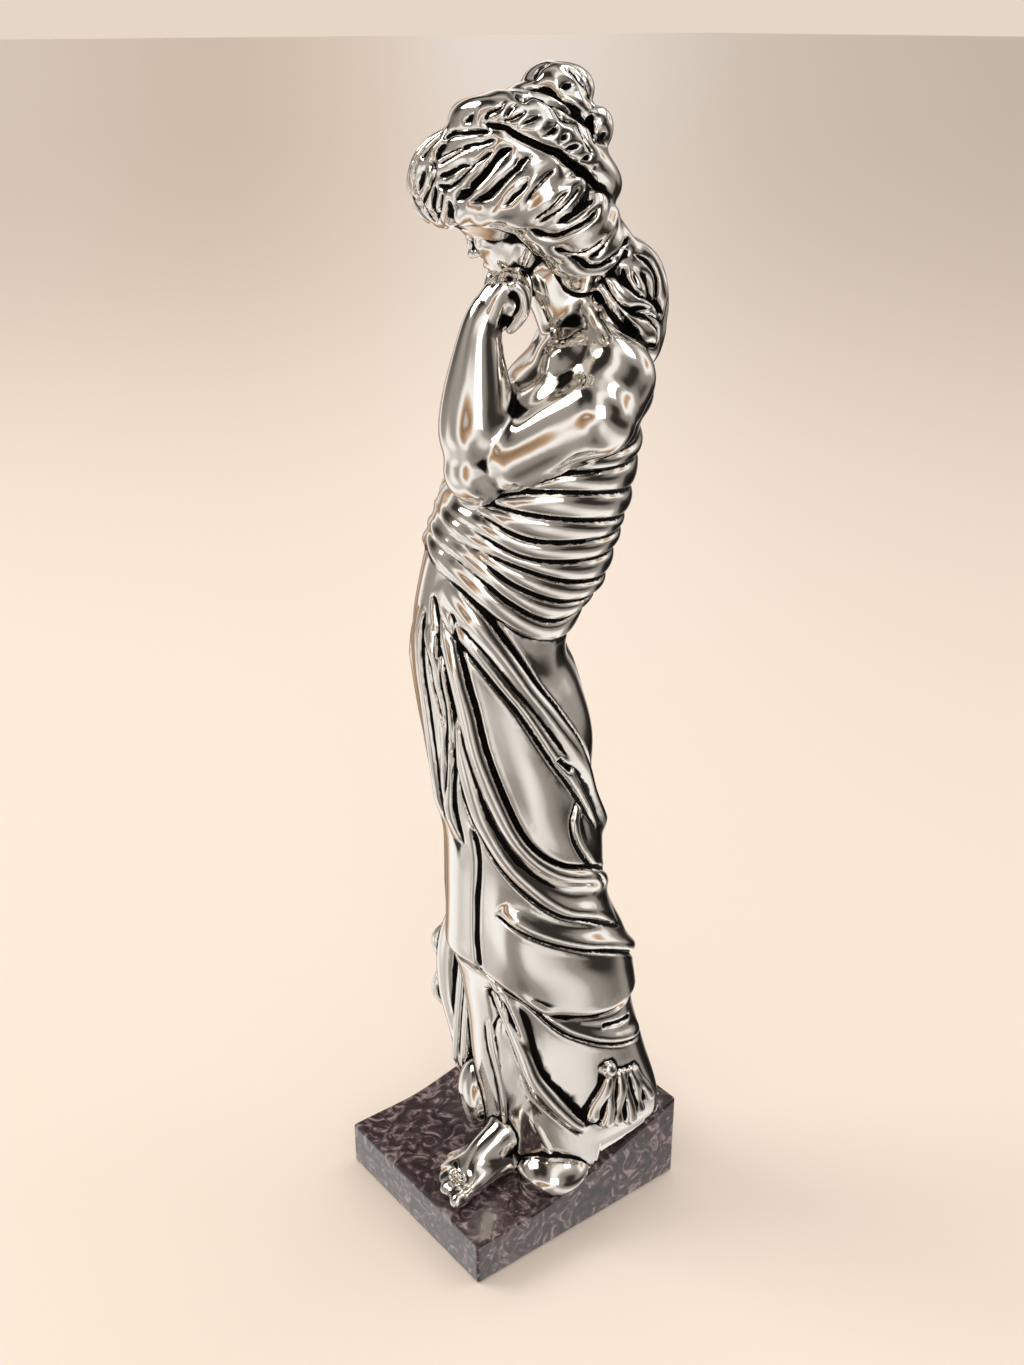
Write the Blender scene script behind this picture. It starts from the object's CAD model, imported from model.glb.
"""Looks of the woman statue: a silver-laminated casting on a marbled resin plinth.

The figure is drawn in millimetres along three axes of its own: back, left and up. Its folds, creases,
hem, arms and hair that the photograph shows were picked by eye in it, and another script turned the
picks to millimetres with the camera given below. The far side is drawn to match, and the face is drawn
freely on plain proportions.
"""

import math

import bmesh
import bpy
import numpy as np
from mathutils import Matrix, Vector
from mathutils.bvhtree import BVHTree
from mathutils.kdtree import KDTree


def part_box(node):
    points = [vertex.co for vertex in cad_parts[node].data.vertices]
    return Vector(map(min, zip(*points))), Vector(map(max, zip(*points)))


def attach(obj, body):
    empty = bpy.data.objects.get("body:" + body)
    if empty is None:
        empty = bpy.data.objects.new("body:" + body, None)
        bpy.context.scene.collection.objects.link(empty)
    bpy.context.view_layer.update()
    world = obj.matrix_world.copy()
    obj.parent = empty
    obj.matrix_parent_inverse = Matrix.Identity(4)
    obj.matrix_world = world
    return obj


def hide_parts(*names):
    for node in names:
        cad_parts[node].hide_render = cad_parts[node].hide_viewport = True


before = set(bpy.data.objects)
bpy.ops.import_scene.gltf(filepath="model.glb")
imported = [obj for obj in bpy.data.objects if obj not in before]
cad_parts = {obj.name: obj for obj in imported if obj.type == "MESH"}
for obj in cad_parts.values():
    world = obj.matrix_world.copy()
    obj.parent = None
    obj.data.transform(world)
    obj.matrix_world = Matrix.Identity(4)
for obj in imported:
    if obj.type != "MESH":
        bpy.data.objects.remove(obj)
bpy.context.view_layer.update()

# Sizes in metres, as in the solids: the plinth is level over a share of its length and then ramps
# up, and the figure stands turned on it, clear by the gap
TOTAL_H = 0.420
PLINTH_W = 0.085
PLINTH_L = 0.099
PLINTH_FRONT_H = 0.0185
PLINTH_BACK_H = 0.037
LEVEL_SHARE = 0.28
RAMP_POWER = 1.3
GAP = 0.0003
TURN = math.radians(37.9)

# How fine the figure's surface is
FIGURE_TRIANGLES = 190000
VOXEL = 0.0005
SMOOTH_PASSES = 3
BODY_COLUMNS = 600
BODY_ROWS = 760
BALL_SEGMENTS = 64
BALL_RINGS = 40
STRAND_STEPS = 10
SMALLEST_TIP = 0.0025

# The figure is drawn 420 mm high along its own axes, and MM is one of those millimetres
DRAWN_H = 420.0
MM = TOTAL_H / DRAWN_H
BACK = Vector((math.sin(TURN), math.cos(TURN), 0.0))
LEFT = Vector((math.cos(TURN), -math.sin(TURN), 0.0))

# Heights up the draped body, each with its front, back, right and left edge, in millimetres
BODY = (
    (8, -12, 61, -30, 33),
    (40, -16, 61, -30, 32),
    (60, -18.5, 54.5, -29, 30),
    (80, -20, 49, -29, 29),
    (100, -23, 46, -29, 29),
    (112, -25.5, 43, -29.5, 29.5),
    (124, -25.3, 37.5, -29, 29),
    (140, -25, 34, -29, 29),
    (160, -25.5, 32.5, -29.5, 29.5),
    (180, -29, 28.5, -30, 30),
    (200, -32, 27, -31, 31),
    (218, -34, 22.5, -30, 30),
    (230, -34.8, 18.5, -28, 29),
    (245, -34.2, 21, -27, 28),
    (258, -31.8, 29.5, -28, 28.5),
    (270, -29, 33, -29, 29),
    (280, -26.5, 36, -30, 30),
    (289, -21, 38, -31, 31),
    (300, -10, 39.5, -32, 31),
    (315, -7, 42, -35, 33),
    (327, -1, 43, -34, 32),
    (336, 8, 41, -24, 23),
    (341, 14, 37, -13, 13),
)

# The body's rings are ovals a little squarer than an ellipse, whose power is 2
SQUARENESS = 2.3

# Below the first height the robe is drawn in to the plinth, over the second, in millimetres
DRAWN_IN_FROM = 85
DRAWN_IN_OVER = 50
HOLD_POWER = 6

# What stays free of the robe at the plinth's sides and ends, in metres
SIDE_MARGIN = 0.0005
END_MARGIN = 0.0008


def smooth(x, xs, ys):
    """A smooth curve through the points (xs, ys), read at x."""
    xs = np.asarray(xs, float)
    ys = np.asarray(ys, float)
    step = np.diff(xs)
    slope = np.diff(ys) / step
    tangent = np.empty_like(ys)
    tangent[0] = slope[0]
    tangent[-1] = slope[-1]
    tangent[1:-1] = (slope[:-1] * step[1:] + slope[1:] * step[:-1]) / (step[1:] + step[:-1])
    x = np.clip(x, xs[0], xs[-1])
    i = np.clip(np.searchsorted(xs, x) - 1, 0, len(xs) - 2)
    t = (x - xs[i]) / step[i]
    start = (2 * t**3 - 3 * t**2 + 1) * ys[i] + (t**3 - 2 * t**2 + t) * step[i] * tangent[i]
    end = (3 * t**2 - 2 * t**3) * ys[i + 1] + (t**3 - t**2) * step[i] * tangent[i + 1]
    return start + end


def bump(x, half_width):
    """A soft hill, 1 in its middle."""
    return np.exp(-((x / half_width) ** 2))


def between(x, low, high, soft):
    """About 1 between low and high, fading over soft."""
    return 0.25 * (1 + np.tanh((x - low) / soft)) * (1 + np.tanh((high - x) / soft))


def turned_from(angle, middle):
    """Degrees from the middle to the angle, the short way round."""
    return (angle - middle + 180) % 360 - 180


# Blouse folds: heights of each crease at these angles away from the gather under the elbow
GATHER = 15.0
CREASE_ANGLES = (0, 40, 75, 110, 145, 180)
CREASES = (
    (306, 306, 307, 307, 308, 309),
    (297, 299, 302, 302, 302, 303),
    (294, 295, 296, 294, 291, 290),
    (291, 291, 288, 285, 282, 281),
    (288, 287, 280, 278, 277, 276),
    (286, 282, 274, 271, 270, 269),
    (283, 277, 270, 264, 261, 260),
    (280, 275, 264, 257, 255, 254),
    (276, 270, 258, 250, 250, 250),
    (271, 262, 251, 243, 240, 239),
)

# How far a roll between two creases stands out, as a share of its width and at most and at least
ROLL_SHARE = 0.42
FULLEST_ROLL = 2.6
THINNEST_ROLL = 0.6

# The blouse's lower edge, as the lowest crease every five degrees round the body
LOW_EDGE = tuple(
    (float(a), float(smooth(abs(turned_from(a, GATHER)), CREASE_ANGLES, CREASES[-1])))
    for a in range(-90, 271, 5)
)

# Skirt folds: line of (angle, height), ridge height, half width, crease depth, crease side
FOLDS = (
    (((40, 262), (80, 248), (108, 233), (130, 210), (146, 192), (172, 168), (205, 150)), 2.6, 3.6, 1.6, 1),
    (((44, 256), (84, 239), (106, 223), (124, 200), (140, 184), (160, 165)), 1.4, 2.6, 1.0, -1),
    (((50, 252), (69, 231), (73, 204), (82, 183), (92, 167), (110, 157), (142, 149), (190, 133)),
      2.6, 3.4, 1.8, 1),
    (((52, 240), (62, 212), (67, 189), (71, 175), (80, 161), (97, 150), (117, 141), (140, 135), (178, 121)),
      2.4, 3.4, 1.4, -1),
    (((73, 142), (88, 136), (108, 130), (128, 125), (152, 119), (190, 104), (215, 96)), 2.4, 3.2, 1.4, -1),
    (((40, 246), (57, 231), (56, 209), (47, 185), (44, 165)), 2.2, 2.6, 1.8, 1),
    (((28, 252), (36, 225), (34, 195), (26, 170)), 1.6, 2.4, 1.2, 1),
    (((57, 107), (62, 95), (68, 78), (74, 62), (86, 53), (104, 42)), 3.2, 3.2, 2.0, -1),
    (((71, 106), (100, 90), (119, 84), (135, 80), (182, 70)), 1.6, 2.6, 1.6, -1),
    (((140, 181), (131, 173), (136, 161), (164, 141)), 1.0, 2.2, 1.4, -1),
    (((200, 240), (215, 205), (222, 170), (215, 130), (205, 70)), 1.8, 4.5, 0.8, 1),
    (((232, 235), (246, 200), (252, 160), (250, 110), (240, 45)), 2.0, 4.5, 0.9, 1),
    (((-62, 250), (-72, 210), (-74, 160), (-70, 100), (-74, 40)), 2.0, 4.5, 0.9, -1),
    (((-30, 248), (-42, 210), (-46, 165), (-44, 105), (-52, 45)), 1.8, 4.0, 0.9, -1),
    (((-4, 240), (-12, 205), (-18, 165), (-16, 110)), 1.8, 3.6, 1.0, -1),
)

# The crease beside a ridge: how many half widths of the ridge away it lies, and its own half width
CREASE_BESIDE = 1.05
CREASE_WIDTH = 0.9

# Creases cut without a ridge: line, depth, half width
CUTS = (
    (((63, 176), (59, 160), (55, 142), (52, 124), (50, 110)), 1.5, 1.3),
    (((37, 257), (52, 243), (58, 222), (52, 199), (44, 181)), 2.0, 1.2),
    (((122, 201), (131, 195)), 1.8, 1.1),
    (((131, 86), (161, 82)), 1.6, 1.0),
    (((54, 104), (52, 84), (54, 62)), 4.5, 2.6),
    (((58, 104), (66, 84), (72, 70)), 2.4, 1.3),
)

# Soft swellings of hip, thigh, knee and calf under the cloth: angle, height, size, spreads
SWELLS = (
    (112, 178, 2.6, 26, 24),
    (165, 205, 1.4, 26, 16),
    (60, 185, 1.0, 18, 22),
    (80, 122, 2.0, 22, 16),
    (75, 60, 2.0, 18, 20),
    (215, 200, 2.0, 24, 18),
)

# Height of the robe's hem at angles round the body, how far the underskirt stands in from it, how
# sharp the edge is, and the groove just below it
HEM = (
    (-90, 92), (-30, 104), (23, 113), (48, 113), (71, 104),
    (85, 98), (115, 94), (160, 92), (215, 88), (270, 92),
)
HEM_STEP = 2.4
HEM_EDGE = 1.2
HEM_GROOVE = 1.3
HEM_GROOVE_DROP = 2.0
HEM_GROOVE_WIDTH = 1.0

# Millimetres round the body for one degree, and how far from a fold's line its relief is worked out
GIRTH = 0.52
FOLD_REACH = 12


def line_distance(angle, up, line, samples=48):
    """Distance in millimetres to a line on the body, its side and the share along it."""
    points = np.asarray(line, float)
    share = np.linspace(0, 1, len(points))
    fine = np.linspace(0, 1, samples)
    a = smooth(fine, share, points[:, 0]) * GIRTH
    z = smooth(fine, share, points[:, 1])
    x = angle * GIRTH
    best = np.full(angle.shape, 1e9)
    side = np.ones(angle.shape)
    along = np.zeros(angle.shape)
    close = (x > a.min() - FOLD_REACH) & (x < a.max() + FOLD_REACH)
    close &= (up > z.min() - FOLD_REACH) & (up < z.max() + FOLD_REACH)
    x, y = x[close], up[close]
    near = np.full(x.shape, 1e9)
    near_side = np.ones(x.shape)
    near_along = np.zeros(x.shape)
    for i in range(samples - 1):
        dx = a[i + 1] - a[i]
        dz = z[i + 1] - z[i]
        t = np.clip(((x - a[i]) * dx + (y - z[i]) * dz) / (dx * dx + dz * dz), 0, 1)
        ox = x - a[i] - t * dx
        oz = y - z[i] - t * dz
        d = ox * ox + oz * oz
        closer = d < near
        near = np.where(closer, d, near)
        near_side = np.where(closer, np.sign(dx * oz - dz * ox), near_side)
        near_along = np.where(closer, fine[i] + t / (samples - 1), near_along)
    best[close], side[close], along[close] = near, near_side, near_along
    return np.sqrt(best), side, along


def faded(along):
    """1 along a fold, falling to 0 at both of its ends."""
    return np.clip(np.minimum(along, 1 - along) * 8, 0, 1) ** 0.7


def blouse_folds(angle, up):
    """Rolls of gathered cloth between the creases that spread from under the elbow."""
    away = np.abs(turned_from(angle, GATHER))
    lines = [smooth(away, CREASE_ANGLES, row) for row in CREASES]
    relief = np.zeros(angle.shape)
    for upper, lower in zip(lines[:-1], lines[1:]):
        width = upper - lower
        share = (up - lower) / width
        inside = (share > 0) & (share < 1)
        size = np.clip(ROLL_SHARE * width, THINNEST_ROLL, FULLEST_ROLL)
        roll = size * np.sqrt(np.clip(4 * share * (1 - share), 0, 1))
        relief = np.where(inside, roll, relief)
    worn = (up > lines[-1]) & (up < lines[0])
    return relief - np.where(worn, THINNEST_ROLL, 0.0)


def drapery(angle, up):
    """How far the cloth stands out from the plain body, in millimetres."""
    relief = blouse_folds(angle, up)
    below = 1 - between(up, np.interp(angle, *zip(*LOW_EDGE)), 400, 0.6)
    ridges = np.zeros(angle.shape)
    creases = np.zeros(angle.shape)
    for line, height, width, depth, crease_side in FOLDS:
        d, side, along = line_distance(angle, up, line)
        fade = faded(along)
        ridges = np.maximum(ridges, height * bump(d, width) * fade)
        offset = d * side - crease_side * width * CREASE_BESIDE
        creases = np.maximum(creases, depth * bump(offset, CREASE_WIDTH) * fade)
    for line, depth, width in CUTS:
        d, _, along = line_distance(angle, up, line)
        fade = faded(along)
        creases = np.maximum(creases, depth * bump(d, width) * fade)
    relief = relief + (ridges - creases) * below
    for middle, height, size, wide, tall in SWELLS:
        relief = relief + size * bump(turned_from(angle, middle), wide) * bump(up - height, tall)
    hem = smooth(angle, *zip(*HEM))
    edge = (up - hem) / HEM_EDGE
    relief = relief + HEM_STEP * 0.5 * (np.tanh(edge) - 1) * between(up, 20, 150, 8)
    return relief - HEM_GROOVE * bump(up - hem + HEM_GROOVE_DROP, HEM_GROOVE_WIDTH)


def draped_body(columns, rows):
    """The robe and trunk: closed rings of points from below the plinth's top to the neck."""
    table = np.asarray(BODY, float)
    ups = np.linspace(table[0, 0], table[-1, 0], rows)
    angles = np.linspace(-90, 270, columns, endpoint=False)
    angle, up = np.meshgrid(angles, ups)
    front, back, right, left = (smooth(up, table[:, 0], table[:, i]) for i in range(1, 5))
    half_b = (back - front) / 2
    half_l = (left - right) / 2
    turn = np.radians(angle)
    inverse = np.abs(np.cos(turn) / half_b) ** SQUARENESS + np.abs(np.sin(turn) / half_l) ** SQUARENESS
    r = inverse ** (-1 / SQUARENESS) + drapery(angle, up)
    b = (front + back) / 2 - r * np.cos(turn)
    s = (left + right) / 2 + r * np.sin(turn)
    x = (b * BACK.x + s * LEFT.x) * MM
    y = (b * BACK.y + s * LEFT.y) * MM
    x, y = within_plinth(x, y, up * MM)
    points = np.stack([x, y, up * MM], -1).reshape(-1, 3)
    return ring_mesh(points, columns, rows)


def within_plinth(x, y, z):
    """Draws the foot of the robe in, so that it stays on the plinth."""
    low = np.clip((DRAWN_IN_FROM * MM - z) / (DRAWN_IN_OVER * MM), 0, 1)
    out = []
    for value, half in ((x, PLINTH_W / 2 - SIDE_MARGIN), (y, PLINTH_L / 2 - END_MARGIN)):
        held = half * np.tanh(np.abs(value / half) ** HOLD_POWER) ** (1 / HOLD_POWER) * np.sign(value)
        out.append(value + (held - value) * low)
    return out


def ring_mesh(points, columns, rows):
    """A closed mesh over rows of rings, with a fan at each end."""
    mesh = bpy.data.meshes.new("rings")
    faces = []
    for row in range(rows - 1):
        for i in range(columns):
            j = (i + 1) % columns
            a = row * columns
            faces.append((a + j, a + i, a + columns + i, a + columns + j))
    vertices = [tuple(p) for p in points]
    for row, flip in ((0, False), (rows - 1, True)):
        ring = points[row * columns:(row + 1) * columns]
        centre = len(vertices)
        vertices.append(tuple(ring.mean(axis=0)))
        for i in range(columns):
            a = row * columns + i
            b = row * columns + (i + 1) % columns
            faces.append((b, a, centre) if flip else (a, b, centre))
    mesh.from_pydata(vertices, [], faces)
    mesh.flip_normals()
    return mesh


class Clay:
    """Overlapping closed forms that are fused into one body."""

    def __init__(self):
        self.forms = []

    def ball(self, centre, radii, axes=None):
        """An egg along the axes given, or else along the figure's back, left and up."""
        axes = axes or figure_frame()
        place = Matrix.Translation(axes @ Vector(centre) * MM) @ axes.to_3x3().to_4x4()
        size = Matrix.Diagonal((*(r * MM for r in radii), 1.0))
        shape = bmesh.new()
        bmesh.ops.create_uvsphere(
            shape, u_segments=BALL_SEGMENTS, v_segments=BALL_RINGS, radius=1.0, matrix=place @ size)
        mesh = bpy.data.meshes.new("ball")
        shape.to_mesh(mesh)
        shape.free()
        self.forms.append(mesh)

    def strand(self, points, radii, axes=None):
        """A round-ended tube through the points, thick as the radii say."""
        axes = axes or figure_frame()
        share = np.linspace(0, 1, len(points))
        count = STRAND_STEPS * len(points)
        fine = (1 - np.cos(np.linspace(0, math.pi, count))) / 2
        path = np.stack([smooth(fine, share, [p[i] for p in points]) for i in range(3)], -1)
        thick = smooth(fine, np.linspace(0, 1, len(radii)), radii)
        travel = np.concatenate([[0], np.cumsum(np.linalg.norm(np.diff(path, axis=0), axis=1))])
        rest = np.minimum(travel, travel[-1] - travel)
        cap = np.clip(rest / np.maximum(thick, 0.01), 0, 1)
        thick = thick * np.sqrt(np.clip(1 - (1 - cap) ** 2, SMALLEST_TIP, 1))
        curve = bpy.data.curves.new("strand", "CURVE")
        curve.dimensions = "3D"
        curve.bevel_depth = MM
        curve.bevel_resolution = 12
        curve.use_fill_caps = True
        spline = curve.splines.new("POLY")
        spline.points.add(count - 1)
        for point, p, r in zip(spline.points, path, thick):
            point.co = (*(axes @ Vector(p) * MM), 1.0)
            point.radius = r
        holder = bpy.data.objects.new("strand", curve)
        self.forms.append(bpy.data.meshes.new_from_object(holder))
        bpy.data.objects.remove(holder)
        bpy.data.curves.remove(curve)

    def fused(self, voxel, smoothing):
        """One closed body around all the forms."""
        mesh = bpy.data.meshes.new("clay")
        together = bmesh.new()
        for form in self.forms:
            together.from_mesh(form)
            bpy.data.meshes.remove(form)
        together.to_mesh(mesh)
        together.free()
        holder = bpy.data.objects.new("clay", mesh)
        bpy.context.scene.collection.objects.link(holder)
        remesh = holder.modifiers.new("Fuse", "REMESH")
        remesh.mode = "VOXEL"
        remesh.voxel_size = voxel
        soft = holder.modifiers.new("Soften", "SMOOTH")
        soft.factor = 0.5
        soft.iterations = smoothing
        shape = evaluated_mesh(holder)
        bpy.data.objects.remove(holder)
        return shape


def evaluated_mesh(holder):
    """The object's mesh with its modifiers worked in."""
    bpy.context.view_layer.update()
    graph = bpy.context.evaluated_depsgraph_get()
    return bpy.data.meshes.new_from_object(holder.evaluated_get(graph))


def figure_frame():
    """Axes of the figure: back, left and up."""
    return Matrix((BACK, LEFT, Vector((0, 0, 1)))).transposed().to_4x4()


# Place, bow and turn of the head, and its size against the figure's own scale
HEAD_AT = (0.0, -1.0, 378.0)
HEAD_BOW = math.radians(22)
HEAD_TURN = math.radians(18)
HEAD_SIZE = 0.92


def head_frame():
    """Axes of the bowed head: forward, left and up, at the figure's own scale."""
    forward = Vector((-math.cos(HEAD_TURN), -math.sin(HEAD_TURN), 0))
    left = Vector((-math.sin(HEAD_TURN), math.cos(HEAD_TURN), 0))
    rise = Vector((0, 0, 1))
    ahead = forward * math.cos(HEAD_BOW) - rise * math.sin(HEAD_BOW)
    above = forward * math.sin(HEAD_BOW) + rise * math.cos(HEAD_BOW)
    turned = Matrix((ahead, left, above)).transposed().to_4x4() * HEAD_SIZE
    turned[3][3] = 1.0
    turned.translation = Vector(HEAD_AT)
    return figure_frame() @ turned


def trunk(clay):
    """Neck, shoulders and both arms."""
    clay.strand(((25, 1, 322), (21, 1, 338), (15.5, 1, 350), (7, 0, 366)), (15, 12.5, 10.5, 10.5))
    clay.ball((19, 0, 348), (10.5, 10.5, 15))
    clay.ball((21, 0, 321), (25, 33, 15))
    clay.ball((25, 0, 332), (17, 24, 12))
    for side in (-1, 1):
        clay.ball((20, side * 12, 332.5), (14, 16, 11.5))
        clay.ball((28, side * 25, 324.5), (13.4, 12.6, 13.8))
    for side in (-1, 1):
        clay.strand(((33, side * 31, 332), (28, side * 17, 339), (22, side * 5, 349), (16, 1, 360)),
                    (8, 7.5, 6.5, 5))
    clay.strand(((34, 34, 326), (31, 16, 331), (29, 0, 332), (31, -18, 331), (34, -35, 326)),
                (12.6, 12.5, 12, 12.5, 12.6))
    clay.strand(((36, 34.5, 326), (29, 33, 322), (16, 28, 315), (6, 25, 308.5), (-3, 22.5, 303.5),
                 (-10, 21, 300.5)),
                (13.6, 13.3, 12.0, 11.4, 11.4, 10.8))
    clay.strand(((-8, 20.5, 300), (-11, 20, 311), (-11.2, 19, 323), (-10.8, 18, 334), (-10.2, 17, 342),
                 (-8.6, 16.4, 348), (-5.6, 15.4, 354)),
                (12.4, 12.8, 11.4, 8.9, 7.0, 6.0, 4.8))
    clay.ball((-10.6, 20.5, 299.5), (12.0, 11.0, 11.0))
    clay.strand(((34, -35, 327), (27, -38, 313), (16, -38.5, 298), (6, -37, 288)), (13, 11.8, 10.6, 10))
    clay.strand(((6, -37, 288), (-6, -31, 284), (-16, -18, 282), (-18, -4, 285)), (10, 10, 8.8, 7.6))
    clay.strand(((-19, -10, 281), (-17, 4, 284), (-11, 15, 285)), (7.6, 7.0, 6.4))


def left_hand(clay):
    """The hand that carries the cheek, its fingers curled down."""
    clay.strand(((-10, 16.8, 340), (-6.4, 15.7, 351.5), (-2.8, 15, 357), (0.6, 14, 361)),
                (6.4, 5.0, 3.8, 3.0))
    clay.strand(((-9, 13.4, 341), (-5.4, 12.0, 352.4), (-1.2, 10.8, 359.4)), (4.0, 3.4, 2.8))
    clay.strand(((-9, 18.2, 341), (-5.4, 18.9, 352), (-1.2, 18.6, 358.4)), (4.0, 3.4, 2.8))
    for finger, (drop, thick) in enumerate(((0.6, 2.1), (0.0, 2.2), (0.8, 2.1), (2.4, 1.9))):
        side = 9.4 + 3.9 * finger
        clay.strand(((-0.6, side, 361 - drop), (3.2, side, 357.6 - drop), (3.6, side, 351 - drop * 0.4),
                     (0.4, side, 345.2), (-2.2, side, 343)),
                    (thick, thick, thick, thick * 0.9, thick * 0.7))
    clay.strand(((-6.4, 9, 350), (-6.8, 7.5, 355), (-5.4, 7, 360)), (2.7, 2.5, 2.2))
    clay.ball((-0.6, 14.5, 351), (3.4, 6.2, 6.6))


def face_frame():
    """The head's axes set back a little, to draw the face in."""
    return head_frame() @ Matrix.Translation((-1.6, 0, -1.6))


def skull(clay, axes):
    """Brow, cheeks, jaw and chin of plain proportions, in the head's own axes."""
    clay.ball((-2, 0, 5), (21, 17, 19.5), axes)
    clay.ball((3.5, 0, -5), (15.0, 13.4, 18), axes)
    clay.ball((9.6, 0, 9.5), (9.6, 13, 8.5), axes)
    clay.ball((13.4, 0, -20.4), (4.6, 5.0, 4.2), axes)
    clay.ball((12.6, 0, -14.2), (4.6, 7.0, 5.8), axes)
    clay.strand(((9, 0, -18.6), (13.2, 0, -21.4)), (7.0, 4.6), axes)
    for side in (-1, 1):
        clay.strand(((-4, side * 11.5, -9), (4, side * 8, -17.5), (12, side * 2.5, -21.2)),
                    (3.2, 3.4, 3.4), axes)
        clay.strand(((18.4, side * 2, 5.8), (17.2, side * 7, 7.0), (12.6, side * 12, 4.6)),
                    (1.9, 2.1, 1.8), axes)
        clay.ball((11.4, side * 8.2, -5.6), (5.2, 4.8, 4.8), axes)


def features(clay, axes):
    """Nose, lips, ears and lowered lids over round eyes."""
    clay.strand(((17.4, 0, 5.4), (18.6, 0, -0.6), (20.6, 0, -6.8)), (2.0, 1.8, 2.1), axes)
    clay.ball((20.6, 0, -8.0), (2.5, 2.3, 2.0), axes)
    clay.strand(((15.4, -5, -14.0), (17.2, -1.8, -13.2), (17.4, 0, -13.5), (17.2, 1.8, -13.2),
                 (15.4, 5, -14.0)), (0.6, 1.25, 1.2, 1.25, 0.6), axes)
    clay.strand(((15.4, -4.2, -15.7), (17.0, 0, -16.3), (15.4, 4.2, -15.7)), (0.6, 1.4, 0.6), axes)
    for side in (-1, 1):
        clay.ball((18.4, side * 2.7, -8.6), (2.4, 1.6, 1.7), axes)
        clay.ball((-2.5, side * 14.2, -3), (3.6, 2.2, 5.4), axes)
        clay.ball((13.4, side * 6.4, -0.8), (4.6, 4.6, 4.0), axes)
        clay.strand(((15.4, side * 2.6, -2.0), (17.9, side * 4.8, -2.7), (17.8, side * 7.6, -2.8),
                     (14.4, side * 10.8, -1.8)), (0.5, 0.9, 0.9, 0.5), axes)


def on_head(lines):
    """Lines drawn on the face, in the figure's axes: each with its depth and half width."""
    place = figure_frame().inverted() @ face_frame()
    return [([tuple(place @ Vector(p)) for p in line], depth, width) for line, depth, width in lines]


# Hollows of the eyes, then the line between the lips, the dip under them, nostrils and upper lids:
# points forward, left and up in the head's axes, then depth and half width
SOCKETS = tuple(
    (((17.5, side * 3.2, 0.8), (16.5, side * 6.4, 0.6), (14.2, side * 10, 0.6)), 2.6, 3.4)
    for side in (-1, 1)
)
MOUTH = (
    (((15.2, -5.2, -14.8), (17.8, -1.6, -14.7), (18.0, 0, -15.0), (17.8, 1.6, -14.7), (15.2, 5.2, -14.8)),
     0.6, 0.35),
    (((15.8, -3, -18.4), (16.8, 0, -18.6), (15.8, 3, -18.4)), 0.5, 1.2),
)
NOSTRILS = tuple((((19.4, side * 2.0, -9.9), (19.8, side * 1.1, -9.9)), 0.7, 0.45) for side in (1, -1))
LIDS = tuple(
    (((15.2, side * 2.7, 1.6), (17.0, side * 5.2, 3.0), (16.4, side * 8, 2.6), (13.4, side * 11, 0.4)),
     0.7, 0.4)
    for side in (1, -1)
)
FACE_LINES = (*MOUTH, *NOSTRILS, *LIDS)


def hair(clay, axes):
    """Cap, rolled front locks, fillet, plait, bun, nape coil and tail."""
    clay.ball((-3.5, 0, 7), (24.5, 20.5, 21.5), axes)
    crown(clay)
    front_locks(clay)
    side_locks(clay)
    fillet(clay)
    plait(clay)
    bun(clay)
    nape(clay)


def front_locks(clay):
    """The roll over the brow, and the locks that turn down over it on both sides."""
    clay.strand(((13, 18, 386), (-2, 16, 388), (-13, 9, 388), (-18, -3, 386), (-14, -13, 387),
                 (-2, -18, 387), (13, -17, 385)),
                (5, 6.5, 7.5, 7.5, 7.5, 6.5, 5))
    locks = (
        ((-13, 3, 401), (-24, -2, 394), (-28.6, -5, 385), (-27.4, -7, 377), (-24, -7, 371.5)),
        ((-13, -3, 401), (-24, -7, 394), (-28.4, -11, 385), (-26.8, -12, 377), (-23, -12, 372)),
        ((-9, 9, 401), (-19, 5, 396), (-27, -1, 388), (-25.6, -3, 379), (-20.6, -2, 371.5)),
        ((-3, 13.5, 400), (-13, 11.5, 394.5), (-21.5, 6, 387), (-23.4, 2, 379), (-19, 2, 371.5)),
        ((3, 16.5, 397.5), (-7, 16, 392), (-15.6, 12, 385), (-20, 7, 378), (-18.4, 5, 373)),
        ((9, 18, 395), (-1, 18.6, 389), (-9.4, 16.4, 382.6), (-14.6, 12.6, 377), (-15.6, 10, 374.4)),
        ((15, 18.4, 392), (6.6, 20.2, 386.4), (-1.6, 19.2, 380.8), (-8, 16.6, 377.2), (-11, 14, 375.6)),
        ((21, 17.4, 388), (14, 20.2, 382.4), (6.4, 19.4, 378.4), (-0.6, 17.4, 376.2), (-5, 15, 375.6)),
    )
    far_locks = [tuple((b, -3 - s * 0.96, u) for b, s, u in path) for path in locks[2:]]
    for path in (*locks, *far_locks):
        clay.strand(path, (2.6, 4.6, 4.8, 3.8, 1.8))


def side_locks(clay):
    """Locks drawn back from each temple to the nape, one under the other."""
    for side, shift in ((1, 0.0), (-1, -2.0)):
        paths = (
            ((26, 12, 383.5), (22.5, 17.5, 377.5), (15, 18.4, 373.6), (6, 16.8, 373), (1, 14, 374)),
            ((28.6, 7, 379.5), (27.4, 13, 372.8), (20.4, 16, 368.6), (10.6, 15.8, 368.8), (4, 13.4, 371)),
            ((30.6, 4, 374.5), (29.6, 10.6, 366.4), (23.4, 13.2, 362.6), (14.8, 13.2, 363.6), (8, 12, 367)),
            ((27, 4, 368), (26, 8.4, 361), (20.6, 10.4, 358), (14.4, 10.4, 360.4)),
        )
        for path in paths:
            clay.strand(tuple((b, side * s + shift, u) for b, s, u in path), (3.0, 4.8, 4.8, 4.2, 2.0))
    clay.ball((18, -1, 374), (11, 13, 12))


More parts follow.
